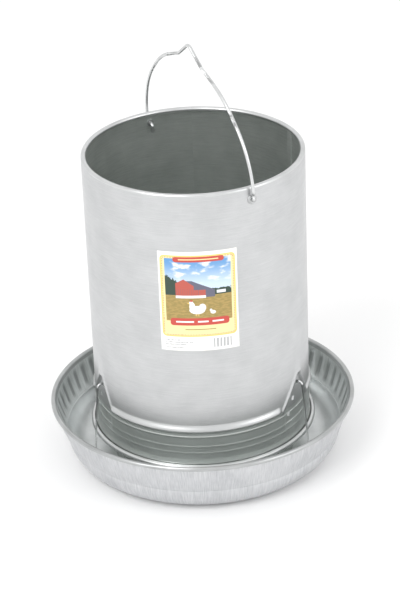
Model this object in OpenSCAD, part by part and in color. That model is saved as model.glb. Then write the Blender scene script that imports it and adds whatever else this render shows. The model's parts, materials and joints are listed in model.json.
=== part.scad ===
// Hanging gravity poultry feeder: a galvanised tube that stands open over a wide pan.
// Millimetres, +Z up. The origin is the middle of the pan's underside, and -Y is the labelled front.

/* [Sheet metal] */
// Thickness of the galvanised sheet
sheet = 0.6; // [0.5:0.05:0.9]

/* [Feed tube] */
// Outer diameter of the feed tube
tube_d = 250; // [240:1:254]
// Height of the tube's top rim above the ground
tube_top = 379; // [340:1:420]
// Height of the tube's lower lip above the pan's floor
feed_gap = 39.5; // [36:0.5:42]
// Diameter of the rolled edge at the top and at the lower lip
curl_d = 5.8; // [4.5:0.1:6.5]
// Distance that the lower lip stands out past the tube's wall
lip_reach = 6.7; // [5.8:0.1:8]
// Height of the stiffening bead above the ground
bead_z = 90; // [86:1:94]
// Distance that the stiffening bead stands out
bead_reach = 2.4; // [1:0.1:3]
// Width of the folded seam inside the tube
seam_w = 8; // [5:1:12]
// Angle of the seam, counted from the right-hand side
seam_angle = 27; // [15:1:45]

/* [Label] */
// Width of the label, along the curve
label_w = 89; // [60:1:120]
// Height of the label
label_h = 121; // [80:1:140]
// Height of the label's lower edge above the ground
label_z = 191; // [140:1:210]
// Angle of the label's middle, counted from the front
label_angle = 0; // [-10:1:10]

/* [Feed pan] */
// Outer diameter of the pan over its rolled rim
pan_d = 355.6; // [345:0.1:365]
// Height of the pan
pan_h = 72; // [68:1:76]
// Radius of the pan at the crease between its round bottom and its wall
pan_crease_r = 161.5; // [160:0.5:163]
// Radius of the round bottom's bend, which is also the height of the crease
pan_bend_r = 32; // [30:0.5:34]
// Radius of the spreader cone's base
cone_r = 100; // [80:1:104]
// Height of the spreader cone
cone_h = 50; // [35:1:60]

/* [Bail] */
// Diameter of the bail's wire
bail_wire_d = 3.8; // [3:0.1:4.5]
// Height of the bail's hinge above the ground
bail_z = 364; // [360:1:366]
// Height of the bail's crown above its hinge
bail_rise = 138; // [130:1:160]
// Angle of the bail's hinge line, counted from the front
bail_angle = 26; // [0:1:40]
// Distance by which the bail's hinge line passes beside the tube's middle
bail_miss = 7; // [0:0.5:8]
// Lean of the bail at rest, towards the left
bail_lean = 3; // [0:1:10]
// Radial clearance between the bail and its eyelets
bail_clearance = 0.08; // [0.02:0.01:0.1]

/* [Hook wires] */
// Diameter of the hook wires
hook_wire_d = 2.2; // [1.8:0.1:2.4]
// Angle of each front hook, counted from the front
hook_angle = 64; // [60:1:66]
// Turn of the three hooks together
hook_turn = -3; // [-5:1:5]
// Radius of the circle on which the hooks' straps lie
foot_r = 137; // [136:0.5:138]
// Height of the top adjusting hole above the ground
hole_z = 110; // [106:1:112]
// Distance between adjusting holes in height
hole_pitch = 16; // [14:1:17]
// Angle between one adjusting hole and the next
hole_step = 4.5; // [0:0.5:6]
// Diameter of the adjusting holes
hole_d = 6.4; // [6.2:0.1:7]

/* [Hidden] */
$fn = 96;

galvanised = "#c9cccb";
bright_wire = "#b9bcbd";
paper = "#f2e6c0";

LEFT = 0;
RIGHT = 1;
BACK = 2;
// Directions are polar angles, so the front is -90 degrees.
front = -90;
station_angles = [front + hook_turn - hook_angle, front + hook_turn + hook_angle, front + hook_turn + 180];

// Feed tube
tube_r = tube_d / 2;
tube_inner_r = tube_r - sheet;
curl_r = curl_d / 2;
rim_curl_at = [tube_r - curl_r, tube_top - curl_r];
lip_curl_at = [tube_r + lip_reach - curl_r, sheet + feed_gap + curl_r];
// The wall flares out to the lip over this height.
flare_h = 8.5;
flare_top = lip_curl_at.y + flare_h;
flare_foot = lip_curl_at + curl_r * [-0.5, 0.8];
bead_h = 9;
bead_gap_before = 17;
bead_gap_after = 11;
rib_r = 0.7;
rib_heights = [59.5, 67.5, 80];
seam_t = 1.2;
hole_r = hole_d / 2;
hole_rows = 3;

// Label
label_t = 0.25;
label_sweep = label_w / tube_r * 180 / PI;

// Feed pan and cone
pan_r = pan_d / 2;
pan_curl_r = 2.75;
pan_curl_at = [pan_r - pan_curl_r, pan_h - pan_curl_r];
pan_wall_top = [pan_curl_at.x - pan_curl_r + sheet, pan_curl_at.y - 1];
cone_flange = 6;
cone_crown_r = 8;

// Wire joints
joint_overlap = 0.1;
bend_swell = 0.04;

// Bail
eyelet_bore_r = bail_wire_d / 2 + bail_clearance;
eyelet_barrel_r = 3;
eyelet_rim_r = 5.4;
eyelet_bead_r = 0.8;
eyelet_inner = -1.8;
eyelet_outer = 1.2;
eyelet_clench = 1.9;
wall_at_hinge = sqrt(pow(tube_r, 2) - pow(bail_miss, 2));
arm_gap = 5.2;
tail_gap = 5.8;
arm_x = wall_at_hinge + arm_gap;
tail_x = wall_at_hinge - tail_gap;
tail_drop = 9;
// One half of the bail from its tail to its crown: [across, up, bend radius].
bail_half = [
    [tail_x, -tail_drop, 0],
    [tail_x, 0, 3.5],
    [arm_x, 0, 3.5],
    [arm_x, bail_rise - 90, 98],
    [75, bail_rise - 36.5, 112],
    [27, bail_rise - 18.8, 6],
    [0, bail_rise, 8]
];

// Hook wires and their straps
hook_wire_r = hook_wire_d / 2;
eye_r = hook_wire_r + 2.5;
eye_sweep = 305;
strap_w = 4;
strap_t = 1;
// The straps stand on the round bottom, square to its slope.
strap_slope = asin((foot_r - pan_crease_r + pan_bend_r) / (pan_bend_r - sheet));
strap_foot = [foot_r, pan_bend_r - (pan_bend_r - sheet) * cos(strap_slope)];
strap_rise = 0.4 + hook_wire_r + eye_r;
strap_seat = 0.35;
hook_pivot = strap_foot + strap_rise * [-sin(strap_slope), cos(strap_slope)];
strap_half_top = 5;
strap_half_foot = 8;
strap_half_length = 12;
nose_z = hole_z + hole_r - hook_wire_r - 0.4;
nose_reach = 4.4;
nose_drop = 1.4;
nose_tip = [tube_inner_r - nose_reach, nose_z - nose_drop];
shoulder = [tube_r + 5, nose_z + 0.6];
shoulder_bend_r = 4;
// The leg leaves the eye along a tangent, so its foot is found from the shoulder's distance and direction.
leg_span = shoulder - hook_pivot;
tangent_angle = atan2(leg_span.y, leg_span.x) - acos(eye_r / norm(leg_span));
leg_foot = hook_pivot + eye_r * [cos(tangent_angle), sin(tangent_angle)];

// ---- Shapes that repeat ----

// Section of a rolled edge: a ring of sheet left open over a short arc.
module curl_section(r, open_angle) {
    difference() {
        circle(r = r);
        circle(r = r - sheet);
        rotate(open_angle) translate([0, -0.5]) square([r + 1, 1]);
    }
}

// Straight wire from point a to point b of the XY plane, which reaches a little into what it meets.
module wire_run(a, b, d) {
    run = b - a;
    translate([a.x, a.y, 0]) rotate([0, 0, atan2(run.y, run.x)]) rotate([0, 90, 0])
        translate([0, 0, -joint_overlap]) cylinder(d = d, h = norm(run) + 2 * joint_overlap);
}

// Bent wire: an arc of radius r about point c, from angle "start" through "sweep".
// A bend swells the wire by a hair, so the straight runs end inside it.
module wire_bend(c, r, start, sweep, d) {
    translate([c.x, c.y, 0]) rotate([0, 0, start]) rotate_extrude(angle = sweep)
        translate([r, 0]) circle(d = d + bend_swell);
}

function flat(p) = [p.x, p.y];
function unit(v) = v / norm(v);
// Half of the angle inside the corner at b.
function half_corner(a, b, c) = acos(unit(a - b) * unit(c - b)) / 2;
// Point where the bend of radius r at corner b starts, on the side of point a.
function bend_end(a, b, c, r) = r == 0 ? b : b + unit(a - b) * r / tan(half_corner(a, b, c));

// Wire along a path of [x, y, bend radius] in the XY plane, with round ends.
module wire_path(path, d) {
    last = len(path) - 1;
    pts = [for (p = path) flat(p)];
    starts = [for (i = [0:last - 1]) i == 0 ? pts[0] : bend_end(pts[i + 1], pts[i], pts[i - 1], path[i].z)];
    ends = [for (i = [1:last]) i == last ? pts[last] : bend_end(pts[i - 1], pts[i], pts[i + 1], path[i].z)];
    for (i = [0:last - 1]) wire_run(starts[i], ends[i], d);
    for (i = [1:last - 1]) {
        half = half_corner(pts[i - 1], pts[i], pts[i + 1]);
        inward = unit(unit(pts[i - 1] - pts[i]) + unit(pts[i + 1] - pts[i]));
        centre = pts[i] + inward * path[i].z / sin(half);
        outward = atan2(-inward.y, -inward.x);
        wire_bend(centre, path[i].z, outward - 90 + half, 180 - 2 * half, d);
    }
    for (end = [pts[0], pts[last]]) translate([end.x, end.y, 0]) sphere(d = d - bend_swell);
}

// Turns a shape to hook station i, where local +X points out from the middle.
module at_station(i) rotate([0, 0, station_angles[i]]) children();

// Moves a shape to the bail's hinge: local +X lies along the hinge line, towards the front.
module at_bail_hinge()
    rotate([0, 0, front + bail_angle]) translate([0, bail_miss, bail_z]) children();

// ---- Feed tube and what is fixed to it ----

module tube_section() {
    translate([tube_inner_r, flare_top]) square([sheet, rim_curl_at.y - flare_top]);
    translate(rim_curl_at) curl_section(curl_r, 200);
    polygon([
        [tube_inner_r, flare_top], [tube_r, flare_top],
        flare_foot + [sheet / 2, 0], flare_foot - [sheet / 2, sheet / 2]
    ]);
    translate(lip_curl_at) curl_section(curl_r, 200);
    for (z = rib_heights) translate([tube_inner_r + sheet / 2, z]) circle(r = rib_r);
}

// The bead runs from one station to the next and stops clear of the adjusting holes.
module bead(from_angle, to_angle) {
    rotate([0, 0, from_angle]) rotate_extrude(angle = to_angle - from_angle)
        polygon([
            [tube_r - sheet / 2, bead_z - bead_h / 2], [tube_r - sheet / 2, bead_z + bead_h / 2],
            [tube_r + bead_reach, bead_z - 0.5], [tube_r + bead_reach, bead_z - 2]
        ]);
}

module adjusting_holes(i) {
    for (row = [0:hole_rows - 1])
        rotate([0, 0, station_angles[i] - row * hole_step])
            translate([tube_r - 10, 0, hole_z - row * hole_pitch]) rotate([0, 90, 0])
                cylinder(r = hole_r, h = 20);
}

module feed_tube() {
    color(galvanised) difference() {
        union() {
            rotate_extrude() tube_section();
            bead(station_angles[LEFT] + bead_gap_after, station_angles[RIGHT] - bead_gap_before);
            bead(station_angles[RIGHT] + bead_gap_after, station_angles[BACK] - bead_gap_before);
            bead(station_angles[BACK] + bead_gap_after, station_angles[LEFT] + 360 - bead_gap_before);
            rotate([0, 0, seam_angle]) translate([tube_inner_r - seam_t, -seam_w / 2, flare_top])
                cube([seam_t + 0.2, seam_w, rim_curl_at.y - flare_top]);
        }
        for (i = [LEFT:BACK]) adjusting_holes(i);
        at_bail_hinge() rotate([0, 90, 0]) cylinder(r = eyelet_barrel_r, h = tube_d + 40, center = true);
    }
}

module tube_label() {
    color(paper) rotate([0, 0, front + label_angle - label_sweep / 2]) rotate_extrude(angle = label_sweep)
        translate([tube_r, label_z]) square([label_t, label_h]);
}

// Eyelet that lines one bail hole. "side" is 1 at the front and -1 at the back.
module bail_eyelet(side) {
    color(bright_wire) at_bail_hinge() rotate([0, 90 * side, 0]) rotate_extrude() {
        translate([eyelet_bore_r, wall_at_hinge + eyelet_inner])
            square([eyelet_barrel_r - eyelet_bore_r, eyelet_outer - eyelet_inner]);
        translate([eyelet_bore_r, wall_at_hinge - eyelet_bead_r / 2])
            square([eyelet_rim_r - eyelet_bore_r - eyelet_bead_r + 0.2, eyelet_bead_r * 2]);
        translate([eyelet_rim_r - eyelet_bead_r, wall_at_hinge + eyelet_bead_r / 2]) circle(r = eyelet_bead_r);
        translate([eyelet_bore_r, wall_at_hinge + eyelet_inner]) square([eyelet_clench, 1]);
    }
}

module bail_handle() {
    last = len(bail_half) - 1;
    other_half = [for (i = [1:last]) [-bail_half[last - i].x, bail_half[last - i].y, bail_half[last - i].z]];
    color(bright_wire) at_bail_hinge() rotate([90 + bail_lean, 0, 0])
        wire_path(concat(bail_half, other_half), bail_wire_d);
}

// ---- Pan and what is fixed to it ----

module pan_section() {
    square([pan_crease_r - pan_bend_r, sheet]);
    translate([pan_crease_r - pan_bend_r, pan_bend_r]) difference() {
        circle(r = pan_bend_r);
        circle(r = pan_bend_r - sheet);
        translate([-pan_bend_r, 0]) square([2 * pan_bend_r, pan_bend_r]);
        translate([-pan_bend_r, -pan_bend_r]) square([pan_bend_r, 2 * pan_bend_r]);
    }
    polygon([
        [pan_crease_r - sheet, pan_bend_r], [pan_crease_r, pan_bend_r],
        pan_wall_top, pan_wall_top - [sheet, 0]
    ]);
    translate(pan_curl_at) curl_section(pan_curl_r, -100);
}

module feed_pan() {
    color(galvanised) rotate_extrude() pan_section();
}

// Spreader cone: pushes feed out from the middle of the tube to the gap under its lip.
module feed_cone() {
    color(galvanised) translate([0, 0, sheet]) rotate_extrude() polygon([
        [cone_r + cone_flange, 0], [cone_r + cone_flange, sheet], [cone_r, sheet],
        [cone_crown_r, cone_h - 2], [0, cone_h],
        [0, cone_h - sheet], [cone_crown_r - sheet / 2, cone_h - 2 - sheet], [cone_r - sheet, 0]
    ]);
}

// Strap that holds the eye of one hook wire down to the pan.
module hook_strap(i) {
    top = strap_rise + strap_t / 2;
    color(galvanised) at_station(i) translate([strap_foot.x, 0, strap_foot.y]) rotate([0, -strap_slope, 0])
        translate([strap_w / 2, 0, strap_seat]) rotate([90, 0, -90]) linear_extrude(strap_w) polygon([
            [-strap_half_length, 0], [-strap_half_foot, 0],
            [-strap_half_top, top - strap_t], [strap_half_top, top - strap_t],
            [strap_half_foot, 0], [strap_half_length, 0],
            [strap_half_length, strap_t], [strap_half_foot + strap_t / 2, strap_t],
            [strap_half_top + strap_t / 2, top], [-strap_half_top - strap_t / 2, top],
            [-strap_half_foot - strap_t / 2, strap_t], [-strap_half_length, strap_t]
        ]);
}

// ---- Hook wires ----

// Wire with an eye round its strap, a straight leg and a nose through the top adjusting hole.
module hook_wire(i) {
    color(bright_wire) at_station(i) rotate([90, 0, 0]) {
        wire_bend(hook_pivot, eye_r, tangent_angle - eye_sweep, eye_sweep, hook_wire_d);
        wire_path([
            [nose_tip.x, nose_tip.y, 0], [shoulder.x, shoulder.y, shoulder_bend_r], [leg_foot.x, leg_foot.y, 0]
        ], hook_wire_d);
    }
}

feed_tube();
tube_label();
bail_eyelet(1);  // bail_eyelet_front
bail_eyelet(-1);  // bail_eyelet_back
bail_handle();
feed_pan();
feed_cone();
hook_strap(LEFT);  // hook_strap_left
hook_strap(RIGHT);  // hook_strap_right
hook_strap(BACK);  // hook_strap_back
hook_wire(LEFT);  // hook_wire_left
hook_wire(RIGHT);  // hook_wire_right
hook_wire(BACK);  // hook_wire_back
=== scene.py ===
"""Looks of a hanging poultry feeder: turned sheet shells, a printed label, wire, floor, light and camera.

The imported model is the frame. The feed tube, the pan and the label are shaped again as finer shells with
pressed stations, a bead, ribs, flutes and a seam. Every wire and fitting is a smooth copy of its own node.
"""

import json
import logging
import math
from collections.abc import Callable, Iterator, Sequence
from contextlib import contextmanager
from dataclasses import dataclass, field
from enum import Enum

import bpy
from bpy.types import Material, Modifier, Node, NodeSocket, NodeTree, Object
from mathutils import Matrix, Vector


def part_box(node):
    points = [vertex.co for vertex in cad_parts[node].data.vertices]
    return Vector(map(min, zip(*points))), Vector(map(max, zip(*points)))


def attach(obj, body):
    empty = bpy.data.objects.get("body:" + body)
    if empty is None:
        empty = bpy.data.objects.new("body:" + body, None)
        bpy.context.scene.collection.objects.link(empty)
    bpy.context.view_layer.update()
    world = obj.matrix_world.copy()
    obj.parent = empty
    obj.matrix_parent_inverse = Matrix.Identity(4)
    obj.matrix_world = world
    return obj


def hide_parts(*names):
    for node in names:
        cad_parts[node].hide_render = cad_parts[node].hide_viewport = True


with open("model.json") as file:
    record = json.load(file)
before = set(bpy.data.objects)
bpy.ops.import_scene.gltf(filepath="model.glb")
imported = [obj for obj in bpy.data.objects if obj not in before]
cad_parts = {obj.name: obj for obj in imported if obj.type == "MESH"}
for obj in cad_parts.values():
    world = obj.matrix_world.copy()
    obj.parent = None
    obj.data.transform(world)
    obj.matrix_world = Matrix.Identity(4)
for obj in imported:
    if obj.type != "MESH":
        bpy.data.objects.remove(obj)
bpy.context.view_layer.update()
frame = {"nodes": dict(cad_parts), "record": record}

log = logging.getLogger("feeder")

MM = 0.001
# Points closer than this are one point, in metres.
MERGE = 1e-6

# Scale, detail and stretch of the sheet's cloudy bloom, rolling lines and specks.
GRAIN = ((38, 4, (1, 1, 1)), (60, 3, (1, 22, 1)), (900, 1, (1, 1, 1)))
# Depths of the lines and specks, in metres.
LINE_DEPTH = 0.06 * MM
SPECK_DEPTH = 0.02 * MM
# Radius at which turns round the axis are read as lengths, in metres.
WRAP_RADIUS = 125 * MM
# Spread of the roughness between bright and dull parts.
ROUGHNESS_SPREAD = 0.12

# The pan's flutes: how many there are, and how far and how often round the pan they drift off their pitch.
FLUTES = 62
FLUTE_DRIFT = 0.8
FLUTE_DRIFT_TURNS = 4

# Shading stays smooth over edges up to this angle, in degrees.
SMOOTH_TO = 40
# Direction of the labelled front, in degrees from the X axis.
FRONT = -90

# A press rule takes a direction in degrees and a height in metres, and gives a strength from 0 to 1.
PressRule = Callable[[float, float], float]
# A face rule takes a face's middle and normal, and says whether it is picked.
FaceRule = Callable[[Vector, Vector], bool]
Colour = tuple[float, float, float]
Profile = list[tuple[float, float]]


class Slot(Enum):
    """The record's material slots."""

    SHEET = "galvanised_sheet"
    WIRE = "galvanised_wire"
    PAPER = "printed_paper"


class Body(Enum):
    """The bodies that pieces ride on."""

    PAN = "pan"
    TUBE = "tube"
    BAIL = "bail"
    HOOK_LEFT = "hook_left"
    HOOK_RIGHT = "hook_right"
    HOOK_BACK = "hook_back"


# ---- Small sums ----


def smooth(low: float, high: float, value: float) -> float:
    """Rises smoothly with the value, from 0 at low to 1 at high, which may be the smaller of the two."""
    t = min(1.0, max(0.0, (value - low) / (high - low)))
    return t * t * (3 - 2 * t)


def turn_between(angle: float, start: float) -> float:
    """Signed turn from start to angle, from -180 to 180 degrees."""
    return (angle - start + 180) % 360 - 180


def arc(centre: tuple[float, float], radius: float, start: float, end: float, steps: int) -> Profile:
    """Points along a round stretch of a profile, from a start angle to an end angle, with 90 straight up."""
    angles = [math.radians(start + (end - start) * i / steps) for i in range(steps + 1)]
    return [(centre[0] + radius * math.cos(a), centre[1] + radius * math.sin(a)) for a in angles]


# ---- Shaping by hand: every helper leaves Blender in object mode ----


def deselect_all() -> None:
    """Deselects every object, because loading the frame leaves its nodes selected."""
    bpy.ops.object.select_all(action="DESELECT")


def take_up(obj: Object) -> None:
    """Makes an object the only selected and active one.

    Args:
        obj: The object.
    """
    deselect_all()
    obj.select_set(True)
    bpy.context.view_layer.objects.active = obj


def settle(obj: Object) -> None:
    """Moves the object's place into its mesh, so that the object sits at the origin."""
    take_up(obj)
    bpy.ops.object.transform_apply(location=True, rotation=True, scale=True)


def claim(name: str) -> Object:
    """Names the primitive that was just added and settles it.

    Args:
        name: Name of the object and its mesh.

    Returns:
        The primitive's object.
    """
    obj = bpy.context.object
    obj.name = obj.data.name = name
    settle(obj)
    return obj


@contextmanager
def editing(obj: Object, kind: str = "FACE") -> Iterator[None]:
    """Opens obj in edit mode for as long as the block lasts.

    Args:
        obj: Mesh object.
        kind: What is selected, VERT, EDGE or FACE.
    """
    take_up(obj)
    bpy.ops.object.mode_set(mode="EDIT")
    bpy.ops.mesh.select_mode(type=kind)
    yield
    bpy.ops.object.mode_set(mode="OBJECT")


def apply_modifier(obj: Object, modifier: Modifier) -> None:
    """Applies one modifier of obj."""
    take_up(obj)
    bpy.ops.object.modifier_apply(modifier=modifier.name)


def soften(obj: Object, width: float, segments: int) -> None:
    """Rounds the edges of a mesh.

    Args:
        obj: Mesh object.
        width: Width of the rounding in metres.
        segments: Number of faces across it.
    """
    edge = obj.modifiers.new("edge", "BEVEL")
    edge.width = width
    edge.segments = segments
    apply_modifier(obj, edge)


def select_faces(obj: Object, where: FaceRule) -> None:
    """Selects the faces of a mesh by their middle and normal.

    Args:
        obj: Mesh object, in object mode.
        where: Rule that takes a face's middle and normal.
    """
    for face in obj.data.polygons:
        face.select = where(face.center, face.normal)
    for edge in obj.data.edges:
        edge.select = False
    for point in obj.data.vertices:
        point.select = False


def dress_faces(obj: Object, slot: int, where: FaceRule) -> None:
    """Gives the faces that a rule picks one of the object's materials.

    Args:
        obj: Mesh object with its materials in place.
        slot: Index of the material.
        where: Rule that takes a face's middle and normal.
    """
    select_faces(obj, where)
    with editing(obj):
        obj.active_material_index = slot
        bpy.ops.object.material_slot_assign()


def remove_faces(obj: Object, where: FaceRule) -> None:
    """Deletes the faces that a rule picks.

    Args:
        obj: Mesh object, in object mode.
        where: Rule that picks them.
    """
    select_faces(obj, where)
    with editing(obj):
        bpy.ops.mesh.delete(type="FACE")


def spin_profile(name: str, profile: Profile, segments: int, floor: bool) -> Object:
    """Raises a round skin by extruding a ring from point to point of a profile.

    Args:
        name: Name of the new object.
        profile: Radius and height pairs in metres, in order along the sheet.
        segments: Number of edges round the ring.
        floor: Whether the first ring is closed with a face.

    Returns:
        The new mesh object, one skin thick, with its normals recalculated.
    """
    deselect_all()
    radius, height = profile[0]
    bpy.ops.mesh.primitive_circle_add(
        vertices=segments, radius=radius, location=(0, 0, height), fill_type="NOTHING"
    )
    obj = claim(name)
    with editing(obj, "EDGE"):
        bpy.ops.mesh.select_all(action="SELECT")
        if floor:
            bpy.ops.mesh.edge_face_add()
            bpy.ops.mesh.select_mode(type="FACE")
            bpy.ops.mesh.poke()
            bpy.ops.mesh.select_mode(type="EDGE")
            bpy.ops.mesh.region_to_loop()
        for next_radius, next_height in profile[1:]:
            bpy.ops.mesh.extrude_edges_move(TRANSFORM_OT_translate={"value": (0, 0, next_height - height)})
            growth = next_radius / radius
            bpy.ops.transform.resize(value=(growth, growth, 1), center_override=(0, 0, next_height))
            radius, height = next_radius, next_height
        bpy.ops.mesh.select_all(action="SELECT")
        bpy.ops.mesh.normals_make_consistent(inside=False)
    return obj


def press(obj: Object, name: str, rule: PressRule, height: float) -> None:
    """Presses a shape into a skin, along its normals.

    Args:
        obj: Mesh object, one skin thick.
        name: Name of the pressed shape.
        rule: Strength of the press at a direction and height, from 0 to 1.
        height: Height of the shape at full strength, in metres. Inward is negative.
    """
    group = obj.vertex_groups.new(name=name)
    for point in obj.data.vertices:
        x, y, z = point.co
        weight = rule(math.degrees(math.atan2(y, x)), z)
        if weight > 0:
            group.add([point.index], min(1.0, weight), "REPLACE")
    dent = obj.modifiers.new(name, "DISPLACE")
    dent.vertex_group = group.name
    dent.mid_level = 0
    dent.strength = height
    apply_modifier(obj, dent)


def thicken(obj: Object, thickness: float) -> None:
    """Gives a skin its thickness, half on each side.

    Args:
        obj: Mesh object, one skin thick.
        thickness: Thickness in metres.
    """
    wall = obj.modifiers.new("sheet", "SOLIDIFY")
    wall.thickness = thickness
    wall.offset = 0
    wall.use_even_offset = True
    apply_modifier(obj, wall)


def shade(obj: Object, angle: float = SMOOTH_TO) -> None:
    """Shades a mesh smooth, but for edges sharper than an angle in degrees."""
    take_up(obj)
    bpy.ops.object.shade_smooth_by_angle(angle=math.radians(angle))


def cut(obj: Object, cutters: Sequence[Object]) -> None:
    """Cuts holes through a mesh and removes the cutters.

    Args:
        obj: Closed mesh object.
        cutters: Closed mesh objects that stand where the holes go.
    """
    take_up(cutters[0])
    for cutter in cutters:
        cutter.select_set(True)
    bpy.ops.object.join()
    drill = bpy.context.object
    hole = obj.modifiers.new("holes", "BOOLEAN")
    hole.operation = "DIFFERENCE"
    hole.solver = "FAST"
    hole.object = drill
    apply_modifier(obj, hole)
    take_up(drill)
    bpy.ops.object.delete()


def rod(radius: float, length: float, middle: Vector, along: Vector) -> Object:
    """Adds a round rod.

    Args:
        radius: Radius in metres.
        length: Length in metres.
        middle: Middle of the rod.
        along: Direction of the rod.

    Returns:
        The new mesh object.
    """
    deselect_all()
    turn = along.to_track_quat("Z", "Y").to_euler()
    bpy.ops.mesh.primitive_cylinder_add(
        vertices=32, radius=radius, depth=length, location=middle, rotation=turn
    )
    return claim("rod")


def fine_copy(node: str, name: str, material: Material, sharp: float) -> Object:
    """Copies a CAD node, joins its loose triangles, shades it smooth and dresses it.

    Args:
        node: Name of the CAD node.
        name: Name of the new object.
        material: Its one material.
        sharp: Angle in degrees past which an edge stays sharp.

    Returns:
        The new mesh object.
    """
    deselect_all()
    mesh = frame["nodes"][node].data.copy()
    mesh.name = name
    mesh.materials.clear()
    mesh.materials.append(material)
    obj = bpy.data.objects.new(name, mesh)
    bpy.context.scene.collection.objects.link(obj)
    with editing(obj):
        bpy.ops.mesh.select_all(action="SELECT")
        bpy.ops.mesh.remove_doubles(threshold=MERGE)
    shade(obj, sharp)
    return obj


def place(obj: Object, body: Body, slot: Slot, *nodes: str) -> None:
    """Rides a finished piece on its body, in place of its CAD nodes, and reports it.

    Args:
        obj: Finished piece.
        body: Body that the piece rides on.
        slot: Record slot of its finish; not used.
        nodes: CAD nodes that it stands for.
    """
    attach(obj, body.value)
    if nodes:
        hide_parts(*nodes)
    log.info("%s: %d faces on %s", obj.name, len(obj.data.polygons), body.value)


# ---- Finishes ----


@dataclass
class Field:
    """A number that changes over a surface, held as an output socket of a node tree."""

    tree: NodeTree
    socket: NodeSocket

    def sum(self, operation: str, *others: "Field | float") -> "Field":
        """Adds one Math node.

        Args:
            operation: Name of the Math node's operation.
            others: The other inputs, as fields or plain numbers.

        Returns:
            The result as a new field.
        """
        terms = dict(enumerate((self, *others)))
        return Field(self.tree, add_node(self.tree, "ShaderNodeMath", terms, operation=operation).outputs[0])

    def __add__(self, other: "Field | float") -> "Field":
        """The field plus another."""
        return self.sum("ADD", other)

    def __sub__(self, other: "Field | float") -> "Field":
        """The field less another."""
        return self.sum("SUBTRACT", other)

    def __mul__(self, other: "Field | float") -> "Field":
        """The field times another."""
        return self.sum("MULTIPLY", other)

    def below(self, limit: "Field | float") -> "Field":
        """1 where the field is below the limit, and 0 elsewhere."""
        return self.sum("LESS_THAN", limit)

    def ramp(self, low: float, high: float) -> "Field":
        """Rises smoothly from 0 where the field is low to 1 where it is high.

        Args:
            low: Value that gives 0.
            high: Value that gives 1, which may be the smaller one.

        Returns:
            A field from 0 to 1.
        """
        flip = high < low
        ends = {"From Min": min(low, high), "From Max": max(low, high)}
        ends |= {"To Min": float(flip), "To Max": float(not flip), "Value": self}
        node = add_node(self.tree, "ShaderNodeMapRange", ends, interpolation_type="SMOOTHSTEP")
        return Field(self.tree, node.outputs["Result"])


def add_node(tree: NodeTree, kind: str, inputs: dict, **settings: object) -> Node:
    """Adds a node, makes its settings and feeds its inputs.

    Args:
        tree: Node tree.
        kind: Type of the node.
        inputs: Fields, sockets or plain values, by the input's name or number.
        settings: Its settings by name.

    Returns:
        The node.
    """
    node = tree.nodes.new(kind)
    for name, setting in settings.items():
        setattr(node, name, setting)
    for key, value in inputs.items():
        source = value.socket if isinstance(value, Field) else value
        if isinstance(source, NodeSocket):
            tree.links.new(source, node.inputs[key])
        else:
            node.inputs[key].default_value = source
    return node


class Bench:
    """A material's node tree with the nodes that finishes share."""

    def __init__(self, name: str) -> None:
        """Makes an empty material with a Principled BSDF.

        Args:
            name: Name of the material.
        """
        self.material = bpy.data.materials.new(name)
        self.material.use_nodes = True
        self.tree = self.material.node_tree
        self.shader = self.tree.nodes["Principled BSDF"]
        self.point = self.tree.nodes.new("ShaderNodeTexCoord").outputs["Object"]
        split = add_node(self.tree, "ShaderNodeSeparateXYZ", {0: self.point})
        self.x, self.y, self.z = (Field(self.tree, split.outputs[i]) for i in range(3))

    def around(self) -> Field:
        """Direction round the upright axis in radians, zero at the labelled front."""
        return self.x.sum("ARCTAN2", self.y * -1.0)

    def out(self) -> Field:
        """Distance from the upright axis, in metres."""
        return (self.x * self.x + self.y * self.y).sum("SQRT")

    def vector(self, x: Field | float, y: Field | float, z: Field | float) -> NodeSocket:
        """Joins three numbers into a vector."""
        return add_node(self.tree, "ShaderNodeCombineXYZ", dict(enumerate((x, y, z)))).outputs[0]

    def noise(self, vector: NodeSocket, scale: float, detail: float) -> Field:
        """Noise of a scale, with detail finer layers, read at a vector."""
        inputs = {"Vector": vector, "Scale": scale, "Detail": detail}
        return Field(self.tree, add_node(self.tree, "ShaderNodeTexNoise", inputs).outputs["Fac"])

    def colour(self, colour: Colour) -> NodeSocket:
        """Adds a plain colour, to be mixed with others.

        Args:
            colour: The colour.

        Returns:
            Its socket.
        """
        node = self.tree.nodes.new("ShaderNodeRGB")
        node.outputs[0].default_value = (*colour, 1)
        return node.outputs[0]

    def blend(self, mask: Field, under: NodeSocket, over: NodeSocket) -> NodeSocket:
        """Lays one colour over another where a mask is 1, and returns the mixed colour's socket."""
        inputs = {0: mask, 6: under, 7: over}
        return add_node(self.tree, "ShaderNodeMix", inputs, data_type="RGBA").outputs[2]

    def group(self, group: NodeTree, vector: NodeSocket, **amounts: float) -> dict[str, Field]:
        """Places a node group in the material.

        Args:
            group: Node group to place.
            vector: Its Vector input.
            amounts: Its other inputs by name.

        Returns:
            Its outputs by name.
        """
        node = add_node(self.tree, "ShaderNodeGroup", {"Vector": vector, **amounts}, node_tree=group)
        return {output.name: Field(self.tree, output) for output in node.outputs}

    def finish(
        self, colour: NodeSocket, roughness: Field, height: Field | None, bump: float
    ) -> Material:
        """Links what changes over the surface to the shader.

        Args:
            colour: Base colour.
            roughness: Roughness.
            height: Height of the bump, in metres, or None for a plain surface.
            bump: Strength of the bump.

        Returns:
            The finished material.
        """
        links = self.tree.links
        links.new(colour, self.shader.inputs["Base Color"])
        links.new(roughness.socket, self.shader.inputs["Roughness"])
        if height is not None:
            relief = {"Strength": bump, "Distance": 1.0, "Height": height}
            node = add_node(self.tree, "ShaderNodeBump", relief)
            links.new(node.outputs["Normal"], self.shader.inputs["Normal"])
        return self.material


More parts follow.
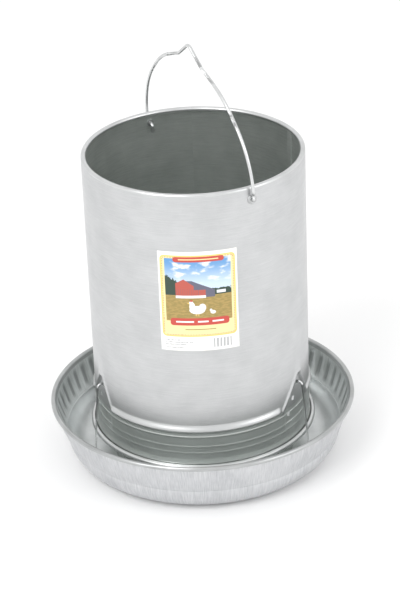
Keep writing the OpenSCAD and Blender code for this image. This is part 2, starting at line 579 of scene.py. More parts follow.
def zinc_grain_group() -> NodeTree:
    """Builds the grain of rolled zinc: cloudy bloom, fine rolling lines and small specks.

    Returns:
        A node group with inputs Vector, Bloom and Lines, and outputs Tone and Height.
    """
    tree = bpy.data.node_groups.new("zinc_grain", "ShaderNodeTree")
    face = tree.interface
    face.new_socket("Vector", in_out="INPUT", socket_type="NodeSocketVector")
    for name, amount in (("Bloom", 0.5), ("Lines", 0.5)):
        face.new_socket(name, in_out="INPUT", socket_type="NodeSocketFloat").default_value = amount
    for name in ("Tone", "Height"):
        face.new_socket(name, in_out="OUTPUT", socket_type="NodeSocketFloat")
    into = tree.nodes.new("NodeGroupInput")
    out = tree.nodes.new("NodeGroupOutput")

    def noise(scale: float, detail: float, stretch: tuple) -> Field:
        """Noise read along a stretched vector, centred on zero."""
        mapping = add_node(tree, "ShaderNodeMapping", {"Vector": into.outputs["Vector"], "Scale": stretch})
        inputs = {"Vector": mapping.outputs[0], "Scale": scale, "Detail": detail}
        return Field(tree, add_node(tree, "ShaderNodeTexNoise", inputs).outputs["Fac"]) - 0.5

    bloom, lines, specks = (noise(*layer) for layer in GRAIN)
    tone = bloom * Field(tree, into.outputs["Bloom"]) + lines * Field(tree, into.outputs["Lines"])
    tree.links.new((tone + specks * 0.1 + 0.5).socket, out.inputs["Tone"])
    tree.links.new((lines * LINE_DEPTH + specks * SPECK_DEPTH).socket, out.inputs["Height"])
    return tree


@dataclass(frozen=True)
class ZincFinish:
    """Galvanised sheet or wire.

    Attributes:
        name: Name of the material.
        dark: Colour of the darker, rougher parts.
        light: Colour of the bright parts.
        roughness: Middle roughness.
        metallic: How much it behaves as bare metal.
        bloom: Strength of the cloudy bloom.
        lines: Strength of the rolling lines.
        upright: Whether the lines run up the sheet and not round it.
    """

    name: str
    dark: Colour
    light: Colour
    roughness: float
    metallic: float = 1.0
    bloom: float = 0.9
    lines: float = 0.6
    upright: bool = False

    def start(self, grain: NodeTree) -> tuple[Bench, NodeSocket, Field, Field]:
        """Lays the grain on a new material.

        Args:
            grain: The zinc grain group.

        Returns:
            The bench, the base colour, the roughness and the height.
        """
        bench = Bench(self.name)
        bench.shader.inputs["Metallic"].default_value = self.metallic
        across, up = bench.around() * WRAP_RADIUS, bench.z
        if self.upright:
            across, up = up, across
        parts = bench.group(grain, bench.vector(across, up, bench.out()), Bloom=self.bloom, Lines=self.lines)
        tone = parts["Tone"].ramp(0.1, 0.9)
        colour = bench.blend(tone, bench.colour(self.dark), bench.colour(self.light))
        roughness = tone * -ROUGHNESS_SPREAD + (self.roughness + ROUGHNESS_SPREAD / 2)
        return bench, colour, roughness, parts["Height"]

    def build(self, grain: NodeTree) -> Material:
        """Builds the plain form of the finish on the zinc grain group, and returns the material."""
        bench, colour, roughness, height = self.start(grain)
        return bench.finish(colour, roughness, height, 1.0)


@dataclass(frozen=True)
class TubeWallFinish(ZincFinish):
    """Outside of the feed tube, with the pan's reflection painted on: a tinted band below the bead and a
    faint fade above it.

    Attributes:
        painted_pan_reflection: Colour of the painted reflection of the pan, in the band below the bead.
        band: Heights where the painted reflection band starts to give way and where it ends, in metres.
        fade: Heights between which the painted reflection fades in above the bead, in metres.
        fade_share: Share of the painted reflection colour there.
        lip: Radii between which the rolled lower edge is kept clear of the painted reflection, in metres.
        lip_top: Heights between which that edge is kept clear of it, in metres.
    """

    painted_pan_reflection: Colour = (0.7, 0.73, 0.71)
    band: tuple[float, float] = (87 * MM, 84 * MM)
    fade: tuple[float, float] = (106 * MM, 94 * MM)
    fade_share: float = 0.2
    lip: tuple[float, float] = (126.2 * MM, 128 * MM)
    lip_top: tuple[float, float] = (52 * MM, 49 * MM)

    def build(self, grain: NodeTree) -> Material:
        """Builds the finish with its dull lower band.

        Args:
            grain: The zinc grain group.

        Returns:
            The material.
        """
        bench, colour, roughness, height = self.start(grain)
        # Painted reflection: the pan seen in the wall is painted as a tinted band below the bead and a faint
        # fade above it, kept off the rolled lower edge.
        mask = bench.z.ramp(*self.band).sum("MAXIMUM", bench.z.ramp(*self.fade) * self.fade_share)
        lip = bench.out().ramp(*self.lip) * bench.z.ramp(*self.lip_top)
        colour = bench.blend(mask * (lip * -1.0 + 1.0), colour, bench.colour(self.painted_pan_reflection))
        return bench.finish(colour, roughness, height, 1.0)


@dataclass(frozen=True)
class FlutedFinish(ZincFinish):
    """Inside of the pan: painted shade in the wall's flutes, and a round bottom painted paler as a painted
    reflection of the sky.

    Attributes:
        floor: Colour of the round bottom, painted paler than the wall as a painted reflection of the sky.
        flute_shade: Colour of the painted shade in the flutes' hollows.
        flute_shade_share: How much of that painted shade there is.
        crease: Height of the crease, in metres.
        wall_top: Heights between which the flutes fade out, in metres.
    """

    floor: Colour = (0.84, 0.86, 0.86)
    flute_shade: Colour = (0.2, 0.21, 0.21)
    flute_shade_share: float = 0.7
    crease: float = 32 * MM
    wall_top: tuple[float, float] = (66 * MM, 58 * MM)

    def build(self, grain: NodeTree) -> Material:
        """Builds the finish with painted shade in its flutes and a paler bottom of painted sky reflection.

        Args:
            grain: The zinc grain group.

        Returns:
            The material.
        """
        bench, colour, roughness, height = self.start(grain)
        # Painted shade: the flutes' hollows are darkened where shade falls in them, on the wall between the
        # crease and the wall top.
        drift = (bench.around() * FLUTE_DRIFT_TURNS).sum("SINE") * FLUTE_DRIFT
        flute_shade_mask = (bench.around() * FLUTES + drift).sum("COSINE").ramp(-0.1, 0.9)
        up_wall = bench.z.ramp(self.crease + 2 * MM, self.crease + 10 * MM) * bench.z.ramp(*self.wall_top)
        colour = bench.blend(flute_shade_mask * up_wall * self.flute_shade_share, colour, bench.colour(self.flute_shade))
        # Painted light: the round bottom, which faces the sky, is painted paler than the wall as a painted
        # sky reflection.
        bottom = bench.z.ramp(self.crease + 1.2 * MM, self.crease + 0.2 * MM)
        floor = bench.blend(
            bench.noise(bench.point, 30, 3).ramp(0.3, 0.7),
            bench.colour(tuple(c * 0.85 for c in self.floor)),
            bench.colour(self.floor),
        )
        return bench.finish(bench.blend(bottom, colour, floor), roughness, height, 1.0)


@dataclass(frozen=True)
class LabelFinish:
    """Printed paper label with a farm scene, a frame and plain bars, and no lettering.

    Attributes:
        name: Name of the material.
        radius: Radius that the label is wrapped round, in metres.
        foot: Height of its lower edge, in metres.
    """

    name: str
    radius: float
    foot: float

    def build(self) -> Material:
        """Paints the label layer by layer, in millimetres from its lower edge and its middle.

        Returns:
            The material.
        """
        bench = Bench(self.name)
        u = bench.around() * (self.radius / MM)
        v = (bench.z - self.foot) * (1 / MM)
        inks = LabelInks(bench, u, v)
        for lay in (inks.lay_paper, inks.lay_frame, inks.lay_farm, inks.lay_bands, inks.lay_footer):
            lay()
        bench.shader.inputs["Coat Weight"].default_value = 0.25
        bench.shader.inputs["Coat Roughness"].default_value = 0.3
        roughness = bench.noise(bench.point, 300, 2) * 0.1 + 0.42
        height = bench.noise(bench.point, 700, 2) * 0.00003
        return bench.finish(inks.colour, roughness, height, 0.6)


class LabelInks:
    """The inks of the label, laid one over another.

    Boxes are left, right, low and high edge and corner radius, and ovals are middle across, middle up, half
    width and half height, all in millimetres. The hen's ovals count from its middle, at size 1.
    """

    SKY = (0.12, 0.32, 0.62)
    HAZE = (0.62, 0.74, 0.86)
    CLOUD = (0.86, 0.88, 0.9)
    GOLD = (0.86, 0.62, 0.16)
    PALE_GOLD = (0.93, 0.78, 0.4)
    RED = (0.56, 0.07, 0.05)
    BARN = (0.5, 0.1, 0.07)
    ROOF = (0.13, 0.13, 0.18)
    TREES = (0.03, 0.06, 0.04)
    FIELD = (0.32, 0.24, 0.07)
    DRY_FIELD = (0.45, 0.31, 0.1)
    WHITE = (0.9, 0.9, 0.88)
    PRINT = (0.3, 0.3, 0.32)

    FRAME = (((-41.5, 41.5, 17.5, 116.5, 5), GOLD), ((-40, 40, 19, 115, 4), PALE_GOLD))
    STITCH_RING = ((-39.5, 39.5, 19.5, 114.5, 3.5), (-38.9, 38.9, 20.1, 113.9, 3))
    WINDOW = (-36.5, 36.5, 37, 113, 0.5)
    BANDS = (
        ((-27, 29, 108.5, 114.8, 3), RED), ((-21, 23, 111, 112.2, 0.5), PALE_GOLD),
        ((-32, 33, 31.5, 40.5, 3), RED), ((-26, -6, 35, 37, 0.9), WHITE), ((-2, 10, 35, 37, 0.9), WHITE),
        ((14, 27, 35, 37, 0.9), WHITE), ((-16, 18, 26, 27, 0.4), FIELD),
    )
    SMALL_PRINT = ((-39, -13, 12.6, 13.9), (-39, -8, 9.8, 11.1), (-39, -13, 7.0, 8.3), (-39, -18, 3.2, 4.5))
    HEN_AT = (-2.0, 50.5)
    HEN_SIZE = 0.72
    HEN = (
        ((0, 0, 12, 7), WHITE), ((-7.5, 5.5, 4.4, 7.5), WHITE), ((-9, 12, 3.4, 3.2), WHITE),
        ((8, 4, 5.5, 6.5), WHITE), ((24, -4.5, 4.2, 3), WHITE), ((20.8, -0.8, 2, 2), WHITE),
        ((-8.6, 15.6, 2.4, 1.5), RED), ((-13, 11.6, 1.7, 0.8), GOLD),
    )

    def __init__(self, bench: Bench, u: Field, v: Field) -> None:
        """Starts with white paper.

        Args:
            bench: The label's bench.
            u: Place across the label, from its middle, in millimetres.
            v: Place up the label, from its lower edge, in millimetres.
        """
        self.bench, self.u, self.v = bench, u, v
        self.colour = bench.colour(self.WHITE)

    def lay(self, mask: Field, colour: Colour) -> None:
        """Lays one ink where the mask is 1."""
        self.colour = self.bench.blend(mask, self.colour, self.bench.colour(colour))

    def box(self, left: float, right: float, low: float, high: float, corner: float = 0.01) -> Field:
        """Mask of a box with round corners, all in millimetres.

        Args:
            left: Left edge.
            right: Right edge.
            low: Lower edge.
            high: Upper edge.
            corner: Radius of the corners.

        Returns:
            The mask.
        """
        across, up = (
            ((spot - (start + end) / 2).sum("ABSOLUTE") - ((end - start) / 2 - corner)).sum("MAXIMUM", 0.0)
            for spot, start, end in ((self.u, left, right), (self.v, low, high))
        )
        return (across * across + up * up).below(corner * corner)

    def oval(self, u: float, v: float, half_width: float, half_height: float) -> Field:
        """Mask of an oval, all in millimetres.

        Args:
            u: Middle across.
            v: Middle up.
            half_width: Half of its width.
            half_height: Half of its height.

        Returns:
            The mask.
        """
        across = (self.u - u) * (1 / half_width)
        up = (self.v - v) * (1 / half_height)
        return (across * across + up * up).below(1.0)

    def under_slope(self, u: float, v: float, slope: float) -> Field:
        """Mask of what lies under a slanting line through a point."""
        return (self.v - (self.u - u) * slope).below(v)

    def lay_paper(self) -> None:
        """Warms the white paper a little where it is worn."""
        worn = self.bench.noise(self.bench.point, 60, 3).ramp(0.45, 0.8) * 0.2
        self.lay(worn, self.PALE_GOLD)

    def lay_frame(self) -> None:
        """Gold frame with a pale middle line and red stitches."""
        for box, ink in self.FRAME:
            self.lay(self.box(*box), ink)
        outer, inner = (self.box(*box) for box in self.STITCH_RING)
        ring = outer - inner
        stitch = (self.u + self.v).sum("ABSOLUTE").sum("MODULO", 3.0).below(1.7)
        self.lay(ring * stitch, self.RED)

    def lay_farm(self) -> None:
        """Sky, clouds, trees, a barn and a field inside the frame."""
        window = self.box(*self.WINDOW)
        self.lay(window, self.SKY)
        self.lay(window * self.v.ramp(112, 76), self.HAZE)
        spread = self.bench.vector(self.u * 0.5, self.v, 0.0)
        clouds = self.bench.noise(spread, 0.13, 5).ramp(0.5, 0.66)
        self.lay(window * clouds * self.v.ramp(78, 92), self.CLOUD)
        leaves = self.bench.noise(self.bench.vector(self.u, self.v, 3.0), 0.35, 4) * 9.0
        far_trees = (self.v - leaves).below(71.0)
        self.lay(window * far_trees, self.TREES)
        near_trees = (self.v + self.u * 0.62 - leaves).below(66.0)
        self.lay(window * near_trees * self.u.below(-12.0), self.TREES)
        meadow = self.v.below(68.5)
        grass = self.bench.noise(self.bench.vector(self.u * 0.5, self.v * 1.5, 7.0), 0.4, 4)
        self.lay(window * meadow, self.FIELD)
        self.lay(window * meadow * grass.ramp(0.4, 0.65), self.DRY_FIELD)
        self.lay_barn()
        self.lay_hen()

    def lay_barn(self) -> None:
        """Red barn with a grey roof, a lean-to and a pale footing."""
        gable = self.under_slope(-16, 88, 0.55) * self.under_slope(-16, 88, -0.75)
        walls = self.box(-25, 6, 66, 88)
        self.lay(self.box(-18, 18, 66, 86) * self.under_slope(-15, 89.5, -0.45), self.ROOF)
        self.lay(walls * gable * self.u.below(-5.0), self.BARN)
        self.lay(self.box(-8, 8, 66, 75), self.BARN)
        planks = self.u.sum("ABSOLUTE").sum("MODULO", 2.4).below(0.45) * 0.45
        self.lay(self.box(-25, 8, 66, 76) * planks, self.ROOF)
        self.lay(self.box(-25, 8, 65, 68.2), self.WHITE)
        self.lay(self.box(20, 30, 70, 73.5), self.CLOUD)

    def lay_hen(self) -> None:
        """White hen of plain ovals, with a chick beside it."""
        (u, v), size = self.HEN_AT, self.HEN_SIZE
        for leg in (-2.0, 2.0):
            self.lay(self.box(u + (leg - 0.5) * size, u + (leg + 0.5) * size, v - 10.5 * size, v), self.GOLD)
        for (across, up, half_width, half_height), ink in self.HEN:
            oval = self.oval(u + across * size, v + up * size, half_width * size, half_height * size)
            self.lay(oval, ink)

    def lay_bands(self) -> None:
        """Red banner above the scene and red band below it, left blank but for pale bars."""
        for box, ink in self.BANDS:
            self.lay(self.box(*box), ink)

    def lay_footer(self) -> None:
        """Grey lines and a striped panel on the white foot."""
        words = self.bench.noise(self.bench.vector(self.u, self.v * 0.3, 11.0), 0.9, 1).ramp(0.4, 0.5)
        for box in self.SMALL_PRINT:
            self.lay(self.box(*box, 0.2) * words * 0.75, self.PRINT)
        stripes = (self.u * 1.7).sum("SINE") + (self.u * 4.1).sum("SINE")
        self.lay(self.box(14, 37, 3.5, 14.5) * stripes.ramp(0.1, 0.35), self.PRINT)


class Finishes:
    """Every zinc material, built once on one shared grain."""

    def __init__(self) -> None:
        """Builds the materials."""
        grain = zinc_grain_group()
        self.tube_wall = TubeWallFinish(
            "tube_wall_zinc", (0.48, 0.49, 0.495), (0.66, 0.665, 0.67), 0.36, bloom=0.35, lines=0.4
        ).build(grain)
        # Painted light: the inside of the tube is a lighter copy of the wall's zinc, painted in for the
        # light that falls inside it.
        self.tube_inside = ZincFinish(
            "tube_inside_zinc", (0.5, 0.53, 0.51), (0.8, 0.83, 0.805), 0.36, 0.9, bloom=0.6, lines=0.5
        ).build(grain)
        self.rim = ZincFinish(
            "rolled_edge_zinc", (0.5, 0.51, 0.51), (0.8, 0.81, 0.81), 0.36, bloom=0.5, lines=0.3
        ).build(grain)
        self.pan_wall = ZincFinish(
            "pan_wall_zinc", (0.5, 0.51, 0.525), (0.7, 0.705, 0.715), 0.42,
            bloom=0.5, lines=1.0, upright=True,
        ).build(grain)
        self.pan_inside = FlutedFinish(
            "pan_inside_zinc", (0.5, 0.52, 0.515), (0.8, 0.82, 0.815), 0.36,
            bloom=0.6, lines=0.8, upright=True,
        ).build(grain)
        # Painted shade: the pan's rolled rim is a darker copy of the pan's zinc, painted in for how light
        # falls on the curl.
        self.pan_rim = ZincFinish(
            "pan_rim_zinc", (0.34, 0.35, 0.35), (0.6, 0.61, 0.61), 0.34, bloom=0.6, lines=0.4
        ).build(grain)
        self.fittings = ZincFinish(
            "fitting_zinc", (0.34, 0.35, 0.35), (0.62, 0.63, 0.63), 0.38, bloom=0.8, lines=0.4
        ).build(grain)
        self.wire = ZincFinish(
            "wire_zinc", (0.55, 0.56, 0.56), (0.82, 0.83, 0.83), 0.3, bloom=0.7, lines=0.3
        ).build(grain)


# ---- Sub-assemblies ----


@dataclass
class Tube:
    """Feed tube: wall, bead, ribs, pressed stations, holes, seam, label, and the bail's eyelets, in metres.

    Attributes:
        finishes: The materials.
        sheet: Thickness of the sheet.
        radius: Outer radius of the wall.
        curl: Radius of the rolled edges.
        lip_out: Radius at the middle of the lower rolled edge.
        stations: Directions of the hook stations, in degrees.
        bead_z: Height of the bead's crown.
        bead_h: Height of the bead.
        bead_reach: How far the bead stands out.
        bead_gap: Degrees from a station to the bead's ends, to its left and right.
        rib_heights: Heights of the ribs.
        rib: How far the ribs stand out, and how wide they are.
        apex_rise: Height of a station's point above its top hole.
        leg_drop: Height over which a station's legs spread.
        left_leg: Half width of the left leg at the point, and how much it spreads.
        right_leg: The same for the right leg.
        ridge: How far the ridge round a station stands out.
        recess: How deep a station is pressed in.
        hole_radius: Radius of the adjusting holes.
        hole_z: Height of the top holes.
        hole_pitch: Height from hole to hole.
        hole_step: Turn from hole to hole, in degrees.
        hole_rows: Number of holes at a station.
        bail_hole_radius: Radius of the bail's holes.
        seam_angle: Direction of the seam, in degrees.
        seam_size: Thickness and width of the seam.
        paper: Thickness of the label.
        segments: Number of edges round the wall.
    """

    finishes: Finishes
    sheet: float = 0.6 * MM
    radius: float = 125 * MM
    curl: float = 2.9 * MM
    lip_out: float = 128.8 * MM
    stations: tuple[float, ...] = (-157.0, -29.0, 87.0)
    bead_z: float = 90 * MM
    bead_h: float = 9 * MM
    bead_reach: float = 2.4 * MM
    bead_gap: tuple[float, float] = (17.0, 11.0)
    rib_heights: tuple[float, ...] = (59.5 * MM, 67.5 * MM, 80 * MM)
    rib: tuple[float, float] = (0.4 * MM, 0.8 * MM)
    apex_rise: float = 13 * MM
    leg_drop: float = 36 * MM
    left_leg: tuple[float, float] = (2.5 * MM, 28 * MM)
    right_leg: tuple[float, float] = (4 * MM, 18 * MM)
    ridge: float = 1.3 * MM
    recess: float = 1.5 * MM
    hole_radius: float = 3.2 * MM
    hole_z: float = 110 * MM
    hole_pitch: float = 16 * MM
    hole_step: float = 4.5
    hole_rows: int = 3
    bail_hole_radius: float = 3 * MM
    seam_angle: float = 27.0
    seam_size: tuple[float, float] = (1.3 * MM, 8 * MM)
    paper: float = 0.2 * MM
    segments: int = 480

    def profile(self) -> Profile:
        """Middle line of the sheet, from the lower rolled edge up to the top one.

        Returns:
            Radius and height pairs.
        """
        low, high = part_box("feed_tube")
        middle = self.radius - self.sheet / 2
        roll = self.curl - self.sheet / 2
        lip = (self.lip_out, low.z + self.curl)
        rim = (self.radius - self.curl, high.z - self.curl)
        flare_top = lip[1] + 8.5 * MM
        points = arc(lip, roll, 475, 150, 16)
        points += [(middle + 0.9 * MM, flare_top - 3.6 * MM), (middle + 0.15 * MM, flare_top - 1 * MM)]
        z = flare_top + 0.6 * MM
        while z < self.hole_z + 16 * MM:
            points.append((middle + self.rib_rise(z), z))
            near = min(abs(z - rib) for rib in self.rib_heights)
            z += 0.7 * MM if near < 2 * MM else 1.5 * MM
        steps = 7
        points += [(middle, z + (rim[1] - z) * i / steps) for i in range(steps)]
        return points + arc(rim, roll, 0, 320, 14)

    def rib_rise(self, z: float) -> float:
        """How far the ribs stand out at a height."""
        reach, width = self.rib
        return sum(reach * math.exp(-(((z - middle) / width) ** 2)) for middle in self.rib_heights)

    def bead_rule(self, angle: float, z: float) -> float:
        """Strength of the bead, which runs from one station to the next.

        Args:
            angle: Direction in degrees.
            z: Height in metres.

        Returns:
            A number from 0 to 1.
        """
        top = smooth(self.bead_z + self.bead_h / 2, self.bead_z - 1 * MM, z)
        foot = smooth(self.bead_z - self.bead_h / 2, self.bead_z - 2 * MM, z)
        left, right = self.bead_gap
        turns = [turn_between(angle, station) for station in self.stations]
        gap = min(max(turn - right, -turn - left) for turn in turns)
        return top * foot * smooth(-0.8, 0.8, gap)

    def leg_distance(self, angle: float, z: float) -> float:
        """Distance inside the slanting legs of the nearest pressed station.

        Args:
            angle: Direction in degrees.
            z: Height in metres.

        Returns:
            The distance in metres, negative outside the legs.
        """
        turn = min((turn_between(angle, station) for station in self.stations), key=abs)
        across = math.radians(turn) * self.radius
        below = self.hole_z + self.apex_rise - z
        spread = min(1.0, max(0.0, below / self.leg_drop))
        left, right = (start + growth * spread for start, growth in (self.left_leg, self.right_leg))
        return min((across + left) * 0.8, (right - across) * 0.9, below)

    def recess_rule(self, angle: float, z: float) -> float:
        """Strength of the pressed recess at the hook stations."""
        return smooth(0, 5 * MM, self.leg_distance(angle, z)) * smooth(54 * MM, 72 * MM, z)

    def ridge_rule(self, angle: float, z: float) -> float:
        """Strength of the raised ridge that follows the recess's legs."""
        off_crown = (self.leg_distance(angle, z) + 1.2 * MM) / (1.9 * MM)
        return math.exp(-(off_crown**2)) * smooth(82 * MM, 88 * MM, z)

    def build_wall(self) -> Object:
        """Shapes the wall with its bead, ribs, stations and holes.

        Returns:
            The finished wall.
        """
        wall = spin_profile("tube_wall", self.profile(), self.segments, floor=False)
        press(wall, "bead", self.bead_rule, self.bead_reach)
        press(wall, "ridge", self.ridge_rule, self.ridge)
        press(wall, "recess", self.recess_rule, -self.recess)
        thicken(wall, self.sheet)
        cut(wall, self.hole_cutters())
        for material in (self.finishes.tube_wall, self.finishes.tube_inside, self.finishes.rim):
            wall.data.materials.append(material)
        low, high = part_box("feed_tube")
        rim_foot = high.z - 2 * self.curl
        lip_top = low.z + 2 * self.curl

        def inner(middle: Vector, normal: Vector) -> bool:
            """Faces that look towards the tube's middle, but for the rolled edges."""
            facing = (middle.x * normal.x + middle.y * normal.y) / math.hypot(middle.x, middle.y)
            return facing < -0.1 and lip_top < middle.z < rim_foot

        dress_faces(wall, 1, inner)
        dress_faces(wall, 2, lambda middle, normal: middle.z >= rim_foot or middle.z <= lip_top)
        shade(wall)
        return wall

    def hole_cutters(self) -> list[Object]:
        """Rods where the adjusting holes and the bail's holes go.

        Returns:
            The rods.
        """
        rods = []
        reach = 16 * MM
        for station in self.stations:
            for row in range(self.hole_rows):
                angle = math.radians(station - row * self.hole_step)
                out = Vector((math.cos(angle), math.sin(angle), 0))
                middle = out * self.radius + Vector((0, 0, self.hole_z - row * self.hole_pitch))
                rods.append(rod(self.hole_radius, reach, middle, out))
        swing = next(j for j in frame["record"]["behaviour"]["joints"] if j["name"] == "bail_swing")
        for node in ("bail_eyelet_front", "bail_eyelet_back"):
            low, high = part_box(node)
            rods.append(rod(self.bail_hole_radius, reach, (low + high) / 2, Vector(swing["axis"])))
        return rods

    def build_seam(self) -> Object:
        """Shapes the folded seam that stands up inside the wall.

        Returns:
            The finished seam.
        """
        low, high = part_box("feed_tube")
        foot, top = low.z + 20 * MM, high.z - 2 * self.curl
        depth, width = self.seam_size
        out = self.radius - self.sheet - 0.5 * MM
        deselect_all()
        bpy.ops.mesh.primitive_cube_add(
            size=1, location=(out, 0, (foot + top) / 2), scale=(depth, width, top - foot)
        )
        seam = claim("tube_seam")
        with editing(seam):
            bpy.ops.mesh.select_all(action="SELECT")
            bpy.ops.mesh.subdivide(number_cuts=3)
        soften(seam, 0.35 * MM, 3)
        seam.rotation_euler = (0, 0, math.radians(self.seam_angle))
        settle(seam)
        seam.data.materials.append(self.finishes.tube_inside)
        shade(seam)
        return seam

    def build_label(self) -> Object:
        """Cuts the label out of a thin sleeve round the wall.

        Returns:
            The finished label.
        """
        low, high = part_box("tube_label")
        half = math.degrees(math.asin(high.x / self.radius))
        deselect_all()
        bpy.ops.mesh.primitive_cylinder_add(
            vertices=360, radius=self.radius + self.paper, depth=high.z - low.z,
            location=(0, 0, (low.z + high.z) / 2), end_fill_type="NOTHING",
        )
        label = claim("label")

        def off_label(middle: Vector, normal: Vector) -> bool:
            """Faces of the sleeve that the label doesn't reach."""
            return abs(turn_between(math.degrees(math.atan2(middle.y, middle.x)), FRONT)) > half

        remove_faces(label, off_label)
        thicken(label, self.paper)
        label.data.materials.append(
            LabelFinish("printed_label", self.radius + 1.5 * self.paper, low.z).build()
        )
        shade(label)
        return label

    def build(self) -> None:
        """Builds and places the tube's pieces."""
        place(self.build_wall(), Body.TUBE, Slot.SHEET, "feed_tube")
        place(self.build_seam(), Body.TUBE, Slot.SHEET)
        place(self.build_label(), Body.TUBE, Slot.PAPER, "tube_label")
        for side in ("front", "back"):
            node = f"bail_eyelet_{side}"
            eyelet = fine_copy(node, f"eyelet_{side}", self.finishes.fittings, SMOOTH_TO)
            place(eyelet, Body.TUBE, Slot.WIRE, node)


@dataclass
class Pan:
    """Feed pan with its round bottom, flutes and rolled rim, and what is fixed in it, in metres.

    Attributes:
        finishes: The materials.
        sheet: Thickness of the sheet.
        crease_r: Outer radius of the crease.
        bend_r: Radius of the round bottom's bend.
        curl: Radius of the rolled rim.
        floor_rings: Radii of the flat base's rings.
        flute_depth: Depth of the deepest flute.
        flute_top: Height where the flutes end.
        strap_edge: Rounding of the straps' edges.
        segments: Number of edges round the pan, eight to a flute.
    """

    finishes: Finishes
    sheet: float = 0.6 * MM
    crease_r: float = 161.5 * MM
    bend_r: float = 32 * MM
    curl: float = 2.75 * MM
    floor_rings: tuple[float, ...] = (12 * MM, 40 * MM, 80 * MM, 110 * MM)
    flute_depth: float = 2 * MM
    flute_top: float = 66 * MM
    strap_edge: float = 0.15 * MM
    segments: int = 8 * FLUTES

    def profile(self) -> Profile:
        """Middle line of the sheet, from the middle of the base up to the rolled rim.

        Returns:
            Radius and height pairs.
        """
        low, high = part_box("feed_pan")
        half = self.sheet / 2
        base_r = self.crease_r - self.bend_r
        points = [(ring, half) for ring in self.floor_rings]
        points += arc((base_r, self.bend_r), self.bend_r - half, -90, -4, 16)
        ledge = self.crease_r - half
        points += [(ledge - 0.35 * MM, self.bend_r - 0.6 * MM), (ledge + 0.35 * MM, self.bend_r + 0.3 * MM)]
        rim = (high.x - self.curl, high.z - self.curl)
        top = (rim[0] - self.curl + half, rim[1] - 1 * MM)
        start = (ledge + 0.6 * MM, self.bend_r + 1.6 * MM)
        steps = 14
        for i in range(steps + 1):
            points.append(tuple(a + (b - a) * i / steps for a, b in zip(start, top)))
        return points + arc(rim, self.curl - half, 180, -130, 14)

    def flute_rule(self, angle: float, z: float) -> float:
        """Strength of the flutes, which are strongest half way up the wall and a little uneven.

        Args:
            angle: Direction in degrees.
            z: Height in metres.

        Returns:
            A number from 0 to 1.
        """
        turn = math.radians(turn_between(angle, FRONT))
        wave = 0.5 + 0.5 * math.cos(FLUTES * turn + FLUTE_DRIFT * math.sin(FLUTE_DRIFT_TURNS * turn))
        uneven = 0.65 + 0.35 * math.sin(9 * turn + 1) * math.sin(4 * turn)
        rise = smooth(self.bend_r + 1 * MM, self.bend_r + 12 * MM, z)
        fall = smooth(self.flute_top, self.flute_top - 10 * MM, z)
        return wave * uneven * rise * fall

    def build_shell(self) -> Object:
        """Shapes the pan's shell.

        Returns:
            The finished shell.
        """
        shell = spin_profile("pan_shell", self.profile(), self.segments, floor=True)
        press(shell, "flutes", self.flute_rule, -self.flute_depth)
        thicken(shell, self.sheet)
        for material in (self.finishes.pan_wall, self.finishes.pan_inside, self.finishes.pan_rim):
            shell.data.materials.append(material)
        rim_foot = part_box("feed_pan")[1].z - 2 * self.curl

        def inner(middle: Vector, normal: Vector) -> bool:
            """Faces that look up or towards the pan's middle."""
            out = max(MERGE, math.hypot(middle.x, middle.y))
            facing = (middle.x * normal.x + middle.y * normal.y) / out
            return middle.z < rim_foot and (facing - normal.z) < 0

        dress_faces(shell, 1, inner)
        dress_faces(shell, 2, lambda middle, normal: middle.z >= rim_foot)
        shade(shell)
        return shell

    def build(self) -> None:
        """Builds and places the pan's pieces."""
        place(self.build_shell(), Body.PAN, Slot.SHEET, "feed_pan")
        cone = fine_copy("feed_cone", "spreader_cone", self.finishes.fittings, 30)
        place(cone, Body.PAN, Slot.SHEET, "feed_cone")
        for side in ("left", "right", "back"):
            node = f"hook_strap_{side}"
            strap = fine_copy(node, f"strap_{side}", self.finishes.fittings, 30)
            soften(strap, self.strap_edge, 2)
            place(strap, Body.PAN, Slot.SHEET, node)


@dataclass
class Wires:
    """The bail and the three hook wires.

    Attributes:
        finishes: The materials.
    """

    finishes: Finishes

    def build(self) -> None:
        """Builds and places the wires."""
        for node, name, body in (
            ("bail_handle", "bail", Body.BAIL),
            ("hook_wire_left", "hook_left_wire", Body.HOOK_LEFT),
            ("hook_wire_right", "hook_right_wire", Body.HOOK_RIGHT),
            ("hook_wire_back", "hook_back_wire", Body.HOOK_BACK),
        ):
            place(fine_copy(node, name, self.finishes.wire, 50), body, Slot.WIRE, node)


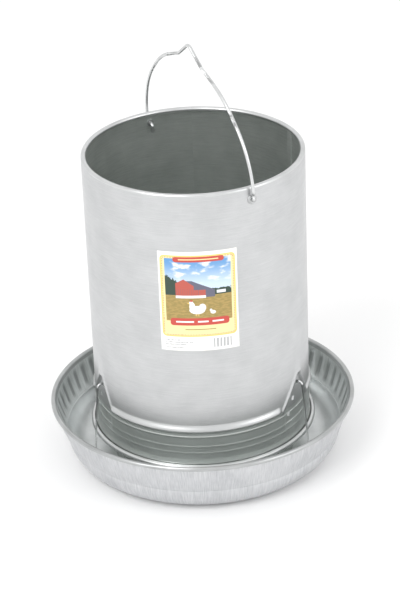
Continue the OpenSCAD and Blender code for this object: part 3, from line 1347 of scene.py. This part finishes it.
@dataclass
class Studio:
    """Floor, lights and camera.

    Attributes:
        aim: Point that the camera looks at.
        distance: Distance from the camera to that point.
        elevation: Height of the camera above the horizon, in degrees.
        roll: Tilt of the camera, in degrees.
        lens: Focal length in millimetres on a sensor 36 mm high.
    """

    aim: Vector = field(default_factory=lambda: Vector((0.00131, 0, 0.18926)))
    distance: float = 2.54993
    elevation: float = 27.233
    roll: float = -2.3
    lens: float = 133.04

    def build_floor(self) -> None:
        """Pale floor, far larger than the feeder."""
        deselect_all()
        bpy.ops.mesh.primitive_plane_add(size=14, location=(0, 0, -0.0005))
        floor = claim("floor")
        bench = Bench("pale_floor")
        cloudy = bench.noise(bench.point, 2, 2).ramp(0.2, 0.8)
        colour = bench.blend(cloudy, bench.colour((0.93, 0.93, 0.93)), bench.colour((0.95, 0.95, 0.95)))
        bench.finish(colour, bench.noise(bench.point, 40, 2) * 0.1 + 0.75, None, 0)
        floor.data.materials.append(bench.material)

    def add_light(self, name: str, place_at: Vector, size: float, power: float) -> None:
        """Adds a square soft light that faces the feeder.

        Args:
            name: Name of the light.
            place_at: Where it stands.
            size: Side in metres.
            power: Power in watts.
        """
        deselect_all()
        turn = (self.aim - place_at).to_track_quat("-Z", "Y").to_euler()
        bpy.ops.object.light_add(type="AREA", location=place_at, rotation=turn)
        light = bpy.context.object
        light.name = light.data.name = name
        light.data.size = size
        light.data.energy = power

    def build_camera(self) -> None:
        """Camera that looks down at the labelled front."""
        rise = math.radians(self.elevation)
        away = Vector((0, -math.cos(rise), math.sin(rise)))
        deselect_all()
        turn = Matrix.Rotation(math.pi / 2 - rise, 3, "X") @ Matrix.Rotation(math.radians(self.roll), 3, "Z")
        bpy.ops.object.camera_add(location=self.aim + away * self.distance, rotation=turn.to_euler())
        camera = bpy.context.object
        camera.name = camera.data.name = "camera"
        camera.data.sensor_fit = "VERTICAL"
        camera.data.sensor_height = 36
        camera.data.lens = self.lens
        bpy.context.scene.camera = camera

    def build(self) -> None:
        """Sets up the studio."""
        scene = bpy.context.scene
        scene.view_settings.view_transform = "Standard"
        world = bpy.data.worlds.new("studio")
        world.use_nodes = True
        sky = world.node_tree.nodes["Background"]
        sky.inputs["Color"].default_value = (1, 1, 1, 1)
        sky.inputs["Strength"].default_value = 1.0
        scene.world = world
        self.build_floor()
        self.add_light("key", Vector((-1.6, -2.2, 2.6)), 1.8, 45)
        self.add_light("fill", Vector((2.4, -1.4, 1.6)), 1.6, 16)
        self.build_camera()
        log.info("studio ready")


def main() -> None:
    """Builds the feeder's looks."""
    logging.basicConfig(level=logging.INFO, format="%(name)s %(message)s")
    Studio().build()
    finishes = Finishes()
    Pan(finishes).build()
    Tube(finishes).build()
    Wires(finishes).build()


if __name__ == "__main__":
    main()
